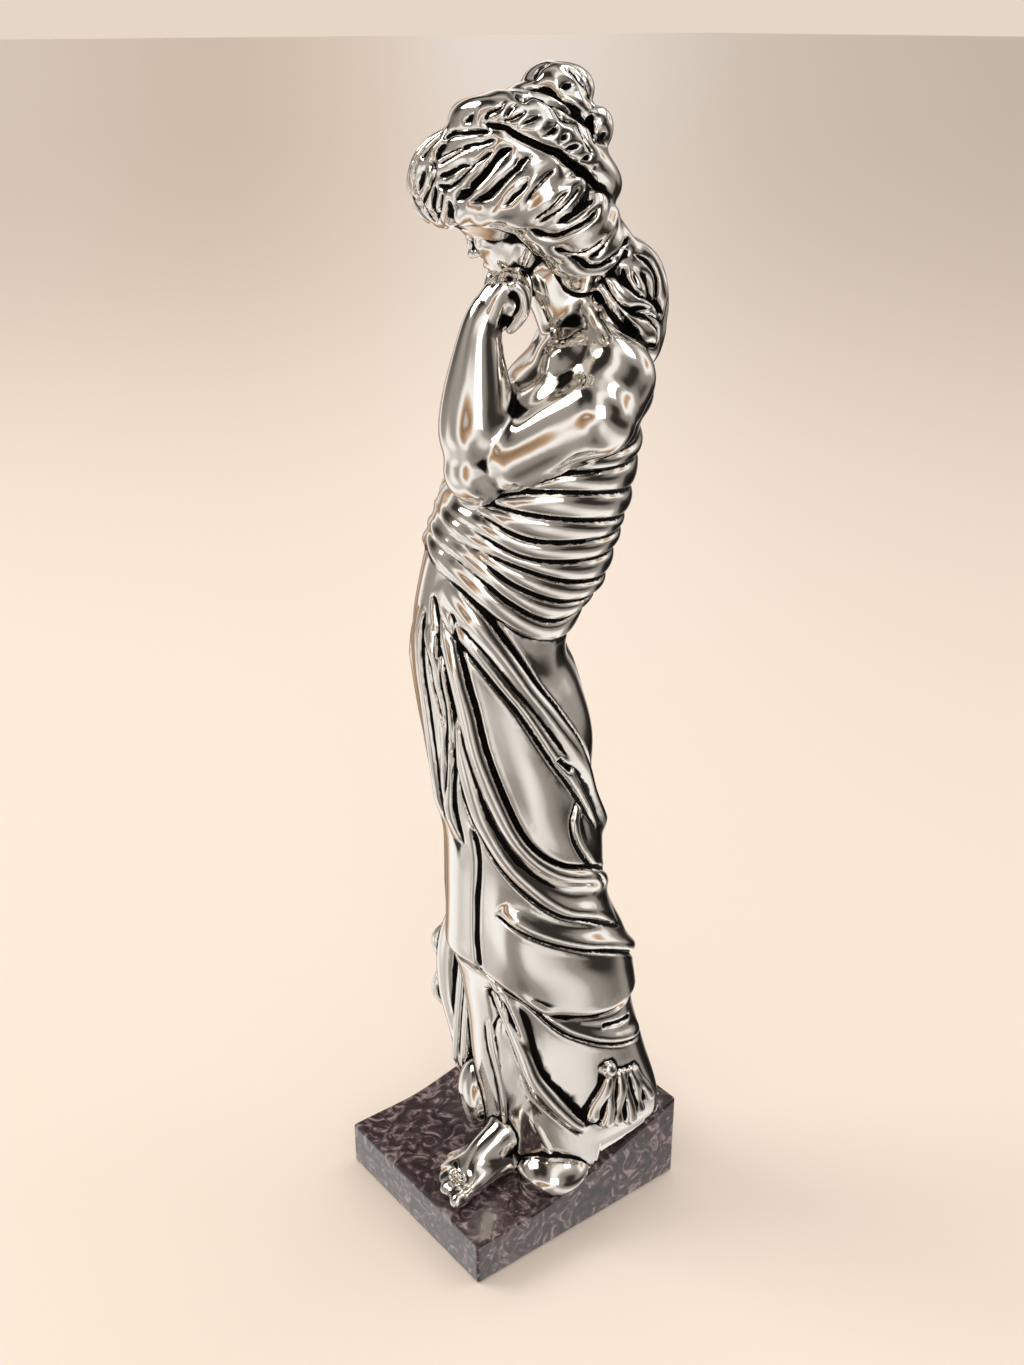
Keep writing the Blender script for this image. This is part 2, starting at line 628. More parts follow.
def ring_point(angle, lift, reach):
    """A point of the crown's tilted ring: 0 at the front, 90 on the left."""
    turn = math.radians(angle)
    b = 4.6 - 25.2 * math.cos(turn) * reach
    s = -1.5 + 21.5 * math.sin(turn) * reach
    u = 387.5 + 10.4 * math.cos(turn) * reach + 5.5 * math.sin(turn) + 3.5 * math.sin(turn) ** 2
    return (b + 0.34 * lift, s, u + 0.94 * lift)


def crown(clay):
    """The hair under the plait, heaped towards the bun."""
    for lift, reach, thick in ((-2, 0.6, 9), (4, 0.5, 9), (9, 0.36, 8)):
        band(clay, lift, reach, thick, step=30)
    clay.ball((9.0, -0.5, 398), (13, 12, 10))


def band(clay, lift, reach, thick, step=15):
    """One even strand laid all the way round the crown, with a point at each step of degrees."""
    ring = [ring_point(a, lift, reach) for a in range(0, 361, step)]
    clay.strand(ring, (thick,) * len(ring))


def fillet(clay):
    """The thin band that holds the hair, with the hair swelling out below it."""
    band(clay, 0, 1.0, 1.7)
    band(clay, -3.0, 0.95, 2.4)


def plait(clay):
    """A thick band of plaited hair laid round the crown."""
    band(clay, 5.6, 0.84, 5.6)
    band(clay, 9.0, 0.72, 4.6)


def bun(clay):
    """A round knot on a flat coil, with a small curl behind it."""
    clay.ball((10.6, -0.5, 405.6), (12.6, 11.5, 4.4))
    clay.ball((13.2, -0.5, 411.6), (11.0, 10.8, 7.9))
    clay.strand(((4.6, 6, 409), (10, 10.4, 408.6), (19, 8.4, 406.8), (24.4, 1, 405)), (1.8, 2.8, 3.2, 2.4))
    clay.strand(((4.6, -7, 409), (10, -11, 408.6), (19, -9, 406.8), (24.4, -2, 405)), (1.8, 2.8, 3.2, 2.4))
    clay.ball((25.6, 1.5, 401), (4.4, 4.6, 6.0))
    clay.strand(((23, 4, 405), (27, 3.4, 402.4), (27.2, 3, 397.8), (24, 3, 396)), (1.6, 2.2, 2.2, 1.4))


def nape(clay):
    """The coil at the nape and the tail of locks between the shoulders."""
    clay.ball((27, 0, 364), (8.5, 8, 9.5))
    for step in range(5):
        b = 26.6 + 2.3 * step
        u = 376.5 - 3.1 * step
        clay.strand(((b - 2.4, 8.4, u + 2.6), (b + 3.4, 6.4, u - 2.6), (b + 3.6, 0, u - 6.8),
                     (b - 1, -5, u - 9)),
                    (1.8, 2.9, 3.0, 2.0))
        clay.strand(((b - 6, 7.5 + 0.8 * step, u - 9.4), (b - 2, 9.6, u - 11.4), (b + 2, 7.4, u - 10)),
                    (2.0, 2.8, 2.4))
    clay.ball((33, 0, 353), (8.5, 9, 13))
    clay.ball((39, 1, 355), (5.6, 6, 11))
    clay.ball((38, 1, 341), (6.0, 8, 12))
    locks = (
        ((34, 3, 368), (41, 4.6, 363), (44.8, 5, 354), (44.2, 3.4, 344.6), (43.2, 2, 336), (43, 0.5, 328.6)),
        ((31, 8.4, 365), (36, 11, 357.6), (38.8, 11.4, 351), (43, 8.8, 343.4), (43.6, 5.4, 335),
         (43, 2, 329.6)),
        ((27, 9.6, 360), (31, 12.6, 353.4), (35.6, 13, 346.6), (40, 9.8, 339.4), (42.5, 4.5, 332)),
        ((35, -3, 368), (43, -3, 361), (45.8, -3.5, 351), (45.8, -3, 341.4), (44.4, -2, 333),
         (43.4, -1, 329)),
        ((32, -8, 365), (38, -10, 357), (41, -10.5, 349), (42.5, -8, 341), (43, -4, 334), (43, -1, 330)),
    )
    for path in locks:
        clay.strand(path, (2.2, 3.2, 3.4, 3.0, 1.4))


def on_plinth(x, y, up):
    """A point given across and along the plinth, in the figure's own axes."""
    return (x * BACK.x + y * BACK.y, x * LEFT.x + y * LEFT.y, up)


def bare_foot(clay):
    """The foot that steps out from under the hem."""
    def strand(points, radii):
        clay.strand([on_plinth(*p) for p in points], radii)

    strand(((12, -8, 92), (15, -9, 68), (15.5, -9, 48), (14.5, -8, 34), (14, -7, 27)), (10, 9, 7.4, 7.6, 7.6))
    strand(((15, -11, 38), (13.5, -22, 31), (12, -31, 25)), (7.0, 6.6, 5.4))
    strand(((18, -12, 24), (19, -26, 23.5), (21.5, -39, 22.6)), (5.4, 4.2, 4.4))
    strand(((10, -12, 24), (6, -24, 23), (3.5, -31, 22.2)), (5.6, 4.8, 4.0))
    strand(((13, -24, 26), (15, -36, 23.6)), (6.0, 4.4))
    strand(((11, -24, 25.4), (8, -34, 23)), (6.0, 4.4))
    strand(((20, -40, 21.4), (14, -40, 21.4), (7, -35, 21.2), (2, -29, 21)), (3.0, 3.0, 2.8, 2.4))
    toes = (
        (4.2, ((22, -38, 23.4), (23, -44, 23.2), (23.2, -48.6, 22))),
        (3.3, ((15.6, -38, 23.8), (15.4, -43, 24), (15, -47.6, 21.4))),
        (3.1, ((10.6, -36, 23.4), (9.8, -40.5, 23.6), (9.4, -44.6, 21.2))),
        (2.9, ((6, -33, 22.8), (4.8, -37, 23), (4.2, -40.6, 21))),
        (2.7, ((2.2, -28, 22.2), (0.6, -31.6, 22.2), (0, -34.8, 20.8))),
    )
    for thick, path in toes:
        strand(path, (thick, thick * 0.92, thick * 0.84))


def foot_of_robe(clay):
    """Mound, hanging ends, pleats and tassel round the foot of the robe."""
    clay.ball(on_plinth(28, -2, 22.5), (15, 17, 9.5))
    rims = (
        (((24, -13, 22), (32, -12, 21), (36.5, 0, 21), (36, 14, 22)), (4.6, 5.4, 5.6, 5.4)),
        (((30, 4, 24), (34, 20, 25), (35, 34, 30), (34, 43, 36)), (5.6, 6.0, 6.0, 4.6)),
    )
    for points, radii in rims:
        clay.strand([on_plinth(*p) for p in points], radii)
    clay.ball((-12.5, 2, 40), (9.5, 12, 16))
    clay.strand(((-18, -12, 118), (-23, -15, 98), (-23, -15, 78), (-19, -11, 58), (-17, -9, 40)),
                (6, 6.6, 6.6, 6, 6))
    clay.strand(((-25, -17, 106), (-29.6, -18, 98), (-27.4, -18, 87), (-30.4, -18, 74), (-24.4, -16, 67),
                 (-22.4, -14, 58), (-19.4, -12, 44)),
                (2.0, 2.6, 2.2, 2.2, 2.4, 2.2, 2.2))
    for b, s, low in ((-21.5, -8, 46), (-18.0, -3, 50), (-12.6, 2, 56)):
        clay.strand(((b + 3, s, 108), (b + 2.4, s, 92), (b + 1, s, 72), (b - 0.6, s, low)),
                    (2.0, 2.5, 2.8, 2.5))
    underskirt_folds = (
        (((-9, 19, 108), (-3, 23, 94), (3.4, 26.4, 79), (8, 28.8, 67), (15, 30.4, 57.5), (22, 30.4, 49),
          (27, 29.4, 44)),
         (1.8, 2.4, 3.0, 3.4, 3.4, 2.8, 2.0)),
        (((-5, 17, 104), (0, 19, 88), (4, 21, 70), (6, 23, 54), (4, 23, 38)), (1.8, 3.0, 3.4, 3.2, 2.6)),
        (((1, 22, 62), (8, 26, 48), (13, 27, 36), (16, 27, 28)), (1.6, 2.8, 3.2, 3.0)),
        (((-6, 21, 102), (1, 25, 84), (9, 28.4, 66), (19, 30, 50)), (1.6, 2.6, 2.6, 1.8)),
        (((-9, 17, 98), (-7, 20, 78), (-3, 21.6, 58), (-2, 22, 38)), (1.6, 2.6, 2.8, 2.2)),
        (((20, 30, 92), (26, 31, 74), (30, 30, 56)), (1.2, 2.4, 1.6)),
    )
    for points, radii in underskirt_folds:
        clay.strand(points, radii)
    tassel(clay)


def tassel(clay):
    """Ruffled pleats gathered to a knot over the near back edge."""
    clay.ball((36, 23.5, 67), (3.4, 3.0, 3.2))
    ends = (
        (30, 28.2, 46), (35, 27.4, 42.4), (40, 25.8, 42),
        (45, 23, 40.4), (49.4, 19.4, 42.6), (53, 15, 46),
    )
    for i, (b, s, u) in enumerate(ends):
        top = (36.6 + 1.9 * i, 23.2 - 1.3 * i, 66 - 0.5 * i)
        swing = (0.8, -0.6)[i % 2]
        upper = (0.65 * top[0] + 0.35 * b + swing, 0.65 * top[1] + 0.35 * s, 0.65 * top[2] + 0.35 * u)
        lower = (0.3 * top[0] + 0.7 * b - swing, 0.3 * top[1] + 0.7 * s, 0.3 * top[2] + 0.7 * u)
        clay.strand((top, upper, lower, (b, s, u)), (1.6, 2.6, 2.8, 3.1))


def plinth_top(y):
    """Height of the plinth's top at y: level in front, then a ramp that steepens to the back."""
    rise = PLINTH_BACK_H - PLINTH_FRONT_H
    share = np.clip((np.asarray(y) / PLINTH_L + 0.5 - LEVEL_SHARE) / (1 - LEVEL_SHARE), 0, 1)
    return PLINTH_FRONT_H + rise * share ** RAMP_POWER


def seat(mesh, lift):
    """Presses the figure's underside flat, just clear of the plinth's top."""
    points = read_points(mesh)
    points[:, 2] = np.maximum(points[:, 2], plinth_top(points[:, 1]) + lift)
    write_points(mesh, points)


def largest_body(mesh):
    """Keeps the biggest connected piece."""
    a, b = read_edges(mesh).T
    label = np.arange(len(mesh.vertices))
    while True:
        joined = label.copy()
        low = np.minimum(label[a], label[b])
        np.minimum.at(joined, label[a], low)
        np.minimum.at(joined, label[b], low)
        joined = joined[joined]
        if (joined == label).all():
            break
        label = joined
    biggest = np.bincount(label).argmax()
    shape = bmesh.new()
    shape.from_mesh(mesh)
    loose = [vertex for vertex, kept in zip(shape.verts, label == biggest) if not kept]
    bmesh.ops.delete(shape, geom=loose, context="VERTS")
    shape.to_mesh(mesh)
    shape.free()


def read_points(mesh):
    """The mesh's points as rows of x, y and z, in metres."""
    points = np.empty(len(mesh.vertices) * 3)
    mesh.vertices.foreach_get("co", points)
    return points.reshape(-1, 3)


def write_points(mesh, points):
    """Moves the mesh's points to the rows given."""
    mesh.vertices.foreach_set("co", points.ravel())
    mesh.update()


def read_normals(mesh):
    """The way the surface faces at each point."""
    normals = np.empty(len(mesh.vertices) * 3)
    mesh.vertex_normals.foreach_get("vector", normals)
    return normals.reshape(-1, 3)


def read_edges(mesh):
    """Each edge as the numbers of its two points."""
    edges = np.empty(len(mesh.edges) * 2, np.int64)
    mesh.edges.foreach_get("vertices", edges)
    return edges.reshape(-1, 2)


def eased(points, edges, passes):
    """The points after each is drawn towards its neighbours a number of times."""
    a, b = edges.T
    count = len(points)
    share = np.bincount(a, minlength=count) + np.bincount(b, minlength=count)
    for _ in range(passes):
        total = np.stack([np.bincount(a, points[b, i], count) + np.bincount(b, points[a, i], count)
                          for i in range(3)], -1)
        points = 0.5 * points + 0.5 * total / share[:, None]
    return points


def chase(mesh, passes, gain, deepest, proudest, share):
    """Crisps the carving: hollows go deeper and ridges stand prouder, as far as share allows."""
    points = read_points(mesh)
    normals = read_normals(mesh)
    detail = points - eased(points, read_edges(mesh), passes)
    proud = np.clip((detail * normals).sum(1) * gain, -deepest * MM, proudest * MM) * share
    write_points(mesh, points + normals * proud[:, None])


def swell(mesh, size):
    """Moves the whole surface outward by a size in millimetres."""
    write_points(mesh, read_points(mesh) + read_normals(mesh) * size * MM)


def soften(mesh, passes, share):
    """Eases the surface as far as share allows."""
    points = read_points(mesh)
    softer = eased(points, read_edges(mesh), passes)
    write_points(mesh, points + (softer - points) * share[:, None])


def closeness(points, others, near, far):
    """1 within near of the other points, 0 beyond far, in millimetres."""
    tree = KDTree(len(others))
    for i, p in enumerate(others):
        tree.insert(p, i)
    tree.balance()
    low = others.min(0) - far * MM
    high = others.max(0) + far * MM
    picked = np.nonzero(((points > low) & (points < high)).all(1))[0]
    gap = np.full(len(points), far)
    gap[picked] = [tree.find(p)[2] / MM for p in points[picked]]
    return np.clip((far - gap) / (far - near), 0, 1)


# Grooves, in millimetres: the points of one lie this far apart and hold to the surface within this
# distance, and its ends run on by this much
GROOVE_STEP = 0.35
GROOVE_HOLD = 3
GROOVE_RUN_ON = 0.9

# Its ends taper over this length down to this share of its depth, its line is eased this many
# times, and it is left out where fewer points than this hold
GROOVE_TAPER = 3.6
SHARPEST_END = 0.08
GROOVE_EASING = 6
FEWEST_POINTS = 6

# A cut goes a little deeper than its number, because the last softening fills it, and the locks
# between cuts are rounded over this half width
CUT_SURPLUS = 1.25
LOCK_ROUNDING = 2.6


def lay_grooves(mesh, grooves, where=None):
    """Each groove as close-set points on the surface, with its taper, depth and half width."""
    tree = BVHTree.FromPolygons([v.co for v in mesh.vertices], [p.vertices for p in mesh.polygons])
    corners_of = [p.vertices[0] for p in mesh.polygons]
    axes = np.array(figure_frame().to_3x3())
    laid = []
    for line, depth, half_width in grooves:
        corners = np.asarray(line, float) @ axes.T
        ends = corners[[0, -1]] - corners[[1, -2]]
        ends /= np.linalg.norm(ends, axis=1)[:, None]
        corners[[0, -1]] += ends * GROOVE_RUN_ON
        share = np.linspace(0, 1, len(corners))
        length = np.linalg.norm(np.diff(corners, axis=0), axis=1).sum()
        fine = np.linspace(0, 1, max(8, int(length / GROOVE_STEP)))
        path = np.stack([smooth(fine, share, corners[:, i]) for i in range(3)], -1)
        found = [tree.find_nearest(Vector(p) * MM) for p in path]
        kept = np.array([hit[3] < GROOVE_HOLD * MM for hit in found])
        if where is not None:
            kept &= np.array([where[corners_of[hit[2]]] > 0.5 for hit in found])
        if kept.sum() < FEWEST_POINTS:
            continue
        fine = fine[kept]
        path = np.array([hit[0] for hit in found])[kept] / MM
        for _ in range(GROOVE_EASING):
            path[1:-1] = 0.25 * path[:-2] + 0.5 * path[1:-1] + 0.25 * path[2:]
        taper = np.clip(np.minimum(fine, 1 - fine) * length / GROOVE_TAPER, SHARPEST_END, 1)
        laid.append((path, taper, depth, half_width))
    return laid


def engrave(mesh, laid, pillow):
    """Cuts the grooves, and rounds the locks between them by the pillow's depth."""
    points = read_points(mesh) / MM
    sunk = np.zeros(len(points))
    for path, taper, depth, half_width in laid:
        picked = within(points, path, 6)
        cut = np.zeros(len(picked))
        for p, t in zip(path, taper):
            d = np.linalg.norm(points[picked] - p, axis=1)
            groove = CUT_SURPLUS * depth * t * bump(d, half_width * (0.5 + 0.5 * t))
            cut = np.maximum(cut, groove + pillow * t * bump(d, LOCK_ROUNDING))
        sunk[picked] = np.maximum(sunk[picked], cut)
    write_points(mesh, (points - read_normals(mesh) * sunk[:, None]) * MM)


def within(points, path, margin):
    """Numbers of the points in a box round the path."""
    return np.nonzero(((points > path.min(0) - margin) & (points < path.max(0) + margin)).all(1))[0]


def ink(mesh, laid):
    """1 in the middle of each groove, 0 away from it."""
    points = read_points(mesh) / MM
    dark = np.zeros(len(points))
    for path, taper, _, half_width in laid:
        picked = within(points, path, 3)
        shade = np.zeros(len(picked))
        for p, t in zip(path, taper):
            d = np.linalg.norm(points[picked] - p, axis=1)
            shade = np.maximum(shade, bump(d, half_width * (0.28 + 0.72 * t)))
        dark[picked] = np.maximum(dark[picked], shade)
    return dark


# Grooves between the locks: points back, left and up, then depth and half width. They are the picks
# in the photograph as another script laid them on the modelled surface, to half a millimetre, and
# the last seven are drawn in by hand beside them
HAIR_GROOVES = (
    (((-4.5, 20, 396.5), (-8.5, 19.5, 394), (-12, 18.5, 392.5), (-15.5, 16, 391), (-20, 13, 388.5),
      (-23.5, 10.5, 387.5)), 1.0, 0.45),
    (((-10, 19, 393.5), (-12.5, 18.5, 391.5), (-14.5, 18, 389.5), (-17.5, 16.5, 386.5), (-20.5, 13.5, 385),
      (-23, 10, 385)), 1.5, 0.7),
    (((0, 21, 396.5), (-3, 20.5, 395.5), (-5.5, 20.5, 393.5), (-7, 20.5, 391.5), (-9, 20.5, 389),
      (-11.5, 19.5, 386.5), (-13, 19, 384.5), (-15, 17.5, 383), (-17, 15.5, 381.5)), 1.6, 0.8),
    (((5.5, 21.5, 394.5), (2.5, 22, 393), (1.5, 22.5, 391.5), (-0.5, 23, 390), (-3, 23, 387.5),
      (-5, 22.5, 385.5), (-7, 22, 383.5), (-10, 21, 382), (-13.5, 19.5, 381)), 1.6, 0.8),
    (((4.5, 24, 388.5), (3.5, 24.5, 387), (2, 24.5, 385), (0, 24.5, 383.5), (-1.5, 24, 381.5),
      (-3, 23.5, 380.5)), 1.4, 0.6),
    (((-4.5, 20, 399), (-10, 18, 397.5), (-15, 15, 396.5), (-20, 11.5, 394.5), (-24, 7.5, 392.5)), 0.8, 0.4),
    (((-2, 20.5, 395.5), (-5, 20.5, 394), (-7, 20.5, 392.5), (-8, 20.5, 390.5)), 0.8, 0.4),
    (((-24.5, 7, 392), (-24, 9.5, 390.5), (-24, 10, 388), (-25, 9, 385.5), (-26.5, 6.5, 382.5),
      (-27.5, 3.5, 380), (-29, -3.5, 376.5)), 1.4, 0.6),
    (((-24, 10, 386.5), (-24, 9, 383), (-24, 7, 380), (-24, 5, 376.5), (-23, 3.5, 374)), 1.2, 0.5),
    (((-21.5, 12.5, 383), (-22, 11.5, 380.5), (-23, 9, 377), (-24, 1, 373)), 1.4, 0.6),
    (((-19, 14.5, 381), (-19, 13, 379), (-18.5, 10, 376), (-16.5, 11, 374.5)), 1.2, 0.6),
    (((-26, 6, 389.5), (-28, 3.5, 385), (-29.5, 2.5, 382), (-30.5, -3.5, 378)), 0.7, 0.4),
    (((17, 23, 385.5), (14, 24.5, 383.5), (11.5, 25, 380.5), (8.5, 24.5, 378), (5, 23.5, 376)), 0.9, 0.45),
    (((20, 21.5, 386), (19, 22.5, 384), (17, 23.5, 381.5), (14, 24, 379), (10, 23.5, 377), (6.5, 23, 375)),
      1.0, 0.5),
    (((25.5, 20, 380), (24, 22, 377.5), (21.5, 23, 375.5), (18.5, 23, 374), (15.5, 23, 372.5),
      (12.5, 22.5, 371.5), (8.5, 22, 372), (5.5, 21.5, 374)), 1.8, 0.9),
    (((28.5, 18.5, 372), (25.5, 19.5, 368.5), (22, 20, 366.5), (18.5, 20, 366), (15, 20.5, 367),
      (12, 20.5, 368.5)), 1.3, 0.6),
    (((32, 14.5, 364.5), (29.5, 16.5, 363), (25, 17.5, 362), (22, 18, 362.5), (19.5, 18.5, 364.5),
      (15, 20, 366)), 1.5, 0.8),
    (((32, 12.5, 376), (31.5, 14.5, 373), (29, 17.5, 369.5), (26, 18, 366.5), (22, 18.5, 365)), 1.2, 0.6),
    (((35.5, 8.5, 370), (34, 12, 367.5), (30, 16.5, 364.5), (25.5, 17.5, 362), (21, 18, 362.5)), 1.2, 0.6),
    (((35.5, 10, 367), (33, 13, 363), (28, 14, 359)), 1.3, 0.6),
    (((-20, 9, 398.5), (-19, 9.5, 400), (-14.5, 14.5, 400.5), (-10, 17.5, 401), (-6, 19, 401)), 1.6, 0.8),
    (((-10, 16.5, 403), (-6.5, 17.5, 402.5), (-2.5, 20, 402), (0, 20, 400.5), (3, 20, 399),
      (6.5, 21, 397.5), (10, 20, 396), (13.5, 19, 395), (16, 19, 392.5), (19.5, 16.5, 390),
      (22.5, 15, 387.5), (26, 13.5, 384.5), (28.5, 9, 381)), 1.5, 0.6),
    (((-11.5, 16, 406.5), (-12.5, 14.5, 404), (-13.5, 12.5, 403)), 1.3, 0.5),
    (((-6, 17.5, 406.5), (-7.5, 17, 404.5), (-9.5, 16.5, 403)), 1.3, 0.5),
    (((-1.5, 17, 409), (-4.5, 19, 407.5), (-7, 17, 405.5), (-8.5, 17, 404)), 1.1, 0.45),
    (((1.5, 17.5, 408), (-0.5, 19, 407), (-2, 20.5, 405.5), (-3.5, 20, 404)), 1.1, 0.45),
    (((3.5, 20.5, 406.5), (1.5, 19.5, 405), (-2.5, 20.5, 404), (-4.5, 18.5, 403)), 1.1, 0.45),
    (((8, 20, 405.5), (5.5, 21.5, 404.5), (1.5, 20, 402)), 1.1, 0.45),
    (((12.5, 19.5, 403.5), (12, 20, 401.5), (10.5, 20, 400.5), (7.5, 21.5, 399.5)), 1.3, 0.55),
    (((16, 19.5, 401), (15, 20.5, 399.5), (12.5, 19.5, 397.5)), 1.2, 0.5),
    (((20, 17, 397.5), (17.5, 19.5, 396.5), (14, 19.5, 395.5)), 1.4, 0.55),
    (((23, 16.5, 395), (21.5, 16.5, 393.5), (18.5, 18, 393)), 1.4, 0.55),
    (((25, 15.5, 391.5), (23.5, 15.5, 390)), 1.2, 0.5),
    (((-1.5, 11, 409.5), (2.5, 16.5, 409), (5, 14, 408.5), (7.5, 14, 408), (11.5, 15, 406),
      (14.5, 17.5, 404), (17.5, 13, 402), (20, 15.5, 399.5), (22.5, 16.5, 396.5), (24.5, 16, 394)),
      1.2, 0.5),
    (((7.5, 14, 408), (10.5, 14, 407), (15, 12.5, 405.5), (17.5, 11, 403.5), (20, 9, 401)), 0.8, 0.4),
    (((3, 9.5, 412), (6, 10, 412.5), (9, 10, 412), (11.5, 11, 411), (14, 12.5, 410), (17, 12.5, 408),
      (19, 12, 406), (20.5, 10.5, 405.5)), 1.7, 0.8),
    (((11, 3.5, 418.5), (8, 3.5, 417.5), (6.5, 5.5, 416), (6.5, 7.5, 414)), 1.2, 0.5),
    (((12.5, 0, 419.5), (15, 1, 419.5), (19, 2.5, 418), (21.5, 4.5, 415), (22.5, 4, 412), (24, 4, 408),
      (23.5, 8, 406)), 1.4, 0.6),
    (((19, 8, 413), (16.5, 9, 413), (15, 9.5, 412.5), (13, 10, 412)), 1.1, 0.6),
    (((15, 5, 418.5), (18, 6.5, 416), (20.5, 7, 413.5), (22.5, 3.5, 410.5), (22, 9, 408.5)), 0.9, 0.45),
    (((23.5, 7.5, 405), (22.5, 5.5, 402.5), (22.5, 5.5, 400), (24, 15.5, 397)), 1.2, 0.5),
    (((28.5, 5, 399.5), (27, 5.5, 399), (25, 5, 397)), 0.9, 0.45),
    (((-20, -6, 401), (-28.8, -6, 396), (-33, -6.5, 388), (-33, -7, 380), (-24, -8, 372)), 1.4, 0.6),
    (((-19, -2, 400.5), (-28.8, -2, 396), (-32.7, -3, 388), (-30, -4.5, 380), (-24, -5, 372)), 1.3, 0.55),
    (((-20, -13.5, 398), (-27, -13.5, 393), (-32, -13.6, 388), (-31.5, -13.6, 380), (-24, -13.2, 374)),
      1.2, 0.55),
    (((-21, -10, 400), (-28, -10, 396), (-33, -10.4, 388), (-33.2, -10.8, 380), (-27, -11, 373)), 1.3, 0.6),
    (((-12, 19.5, 397.5), (-16, 17, 396), (-20, 14, 393.5), (-24, 10, 390.5)), 0.8, 0.4),
    (((14, 24, 392.5), (11, 24.5, 390), (8, 25, 387), (5.5, 25, 384), (3.5, 24.5, 381)), 0.8, 0.4),
    (((24, 20.5, 385), (22.5, 21.5, 383), (20, 22.5, 380.5), (16.5, 23.5, 377.5), (12, 23.5, 375)), 0.8, 0.4),
)

# Grooves of the tail between the shoulders in the same form, all of them picks laid in that same way
TAIL_GROOVES = (
    (((28, 13.5, 358), (28.5, 14.5, 355), (31, 16, 352), (35, 16.5, 349.5), (40, 14.5, 349),
      (43.5, 11.5, 349)), 1.6, 0.8),
    (((34.5, 12, 362), (33.5, 13, 359), (35.5, 14, 356), (38.5, 14.5, 353.5), (44, 8, 349.5), (47, 6, 346)),
      1.3, 0.6),
    (((37, 10, 365), (41, 8, 363), (44, 8, 358.5), (44.5, 8.5, 354.5), (44, 8, 350)), 1.3, 0.6),
    (((36.5, 12, 360.5), (38, 13.5, 358), (39.5, 14, 355)), 1.0, 0.5),
    (((30.5, 15.5, 351), (34.5, 16, 346), (38, 15, 341.5), (40, 23, 339), (41, 28, 335.5)), 1.3, 0.6),
    (((35, 16.5, 348.5), (40, 14, 347), (44, 12, 344), (46, 9.5, 341), (44.5, 9, 336.5), (42, 26, 336)),
      1.2, 0.6),
    (((32.5, 16.5, 350.5), (38, 15, 348), (43.5, 12.5, 346.5), (47, 4, 342.5)), 1.0, 0.45),
)


# How far left of the figure's middle the head's and the tail's own middles lie
HEAD_MIDDLE = -1.5
TAIL_MIDDLE = 1.0


def mirrored(grooves, middle):
    """The same grooves on the far side of the middle."""
    return [([(b, 2 * middle - s, u) for b, s, u in line], depth, width) for line, depth, width in grooves]


def hollows(mesh, passes):
    """How far each point lies below the eased surface, in millimetres."""
    points = read_points(mesh)
    edges = read_edges(mesh)
    below = ((eased(points, edges, passes) - points) * read_normals(mesh)).sum(1)
    return eased(np.repeat(below[:, None], 3, 1), edges, 2)[:, 0] / MM


def note(mesh, name, values):
    """Keeps a value at each point for the finish to read."""
    attribute = mesh.attributes.new(name, "FLOAT", "POINT")
    attribute.data.foreach_set("value", values.astype(np.float32))


# Above this height all skin is eased as bare, over the next millimetres
COLLAR_FROM = 308
COLLAR_OVER = 4

# Where the cloth is gathered under the elbow: heights, and how far back, with soft edges
GATHERED_UP = (262, 298, 3)
GATHERED_BACK = (-60, -9, 3)


def modelled_figure():
    """All the forms fused into one body, and how far each of its points is hair or bare skin."""
    skin = Clay()
    trunk(skin)
    bare_foot(skin)
    hand = Clay()
    left_hand(hand)
    head = Clay()
    skull(head, face_frame())
    tresses = Clay()
    hair(tresses, head_frame())
    forms = [
        skin.fused(voxel=0.0008, smoothing=30),
        hand.fused(voxel=0.0006, smoothing=8),
        head.fused(voxel=0.0006, smoothing=30),
        tresses.fused(voxel=0.0007, smoothing=34),
    ]
    engrave(forms[2], lay_grooves(forms[2], on_head(SOCKETS)), pillow=0)
    swell(forms[3], size=0.6)
    places = [read_points(form) for form in forms]
    clay = Clay()
    clay.forms += forms
    details = Clay()
    features(details, face_frame())
    fine = np.concatenate([*places[1:3], *(read_points(form) for form in details.forms)])
    clay.forms += details.forms
    clay.forms.append(draped_body(BODY_COLUMNS, BODY_ROWS))
    foot_of_robe(clay)
    mesh = clay.fused(VOXEL, SMOOTH_PASSES)
    largest_body(mesh)
    points = read_points(mesh)
    hairy = closeness(points, places[3], near=0.5, far=1.4)
    fine_skin = closeness(points, fine, near=0.5, far=1.2) * (1 - hairy)
    collar = np.clip((points[:, 2] / MM - COLLAR_FROM) / COLLAR_OVER, 0, 1)
    bare = np.maximum(closeness(points, places[0], near=0.4, far=0.9), collar) * (1 - hairy)
    soften(mesh, passes=60, share=bare * (1 - fine_skin))
    local = points / MM @ np.array(figure_frame().to_3x3())
    gathered = between(local[:, 2], *GATHERED_UP) * between(local[:, 0], *GATHERED_BACK)
    soften(mesh, passes=14, share=gathered * (1 - bare))
    cloth = (1 - bare) * (1 - hairy) * (1 - fine_skin) * (1 - gathered)
    chase(mesh, passes=40, gain=0.8, deepest=0.7, proudest=0.12, share=cloth)
    return mesh, hairy


